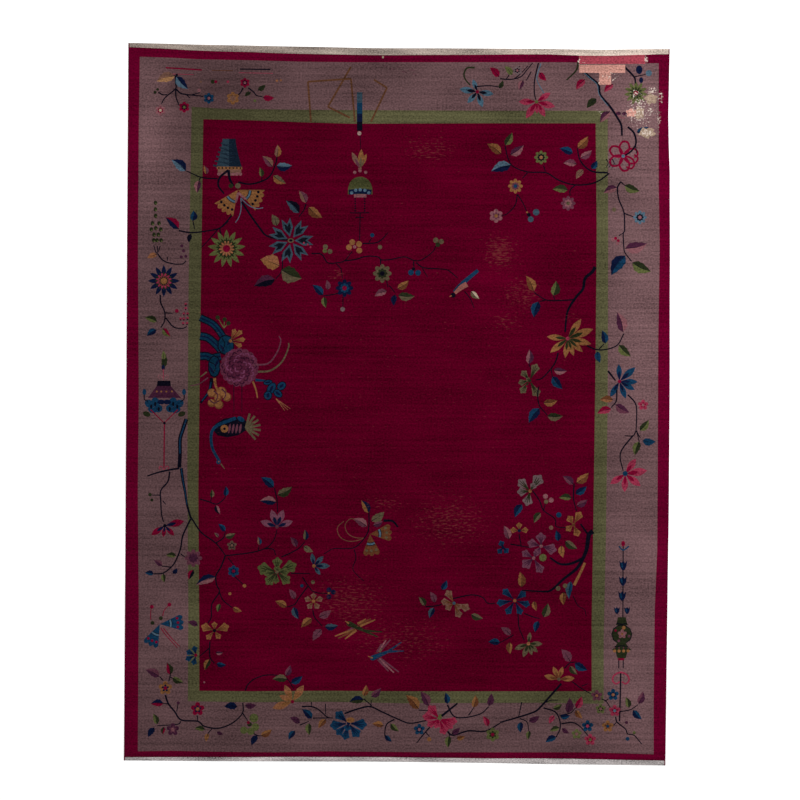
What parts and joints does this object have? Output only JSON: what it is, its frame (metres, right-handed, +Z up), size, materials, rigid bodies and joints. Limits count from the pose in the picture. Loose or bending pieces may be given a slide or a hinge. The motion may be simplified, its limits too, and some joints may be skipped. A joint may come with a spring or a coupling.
{
  "type": "hand-knotted floor rug",
  "caption": "Flat rectangular hand-knotted wool rug with uneven hand-woven edges, a wide floral border and flat-woven cotton ends.",
  "frame": {"origin": "on the floor under the middle of the rug's bounding box", "axes": "+X across the width, +Y along the length towards the end with the wider web, +Z up out of the pile"},
  "size_m": [2.72, 3.59, 0.01],
  "materials": {
    "wool_pile": "cut wool pile, matt"
  },
  "bodies": {
    "root": {"rug": "wool_pile"}
  },
  "joints": []
}
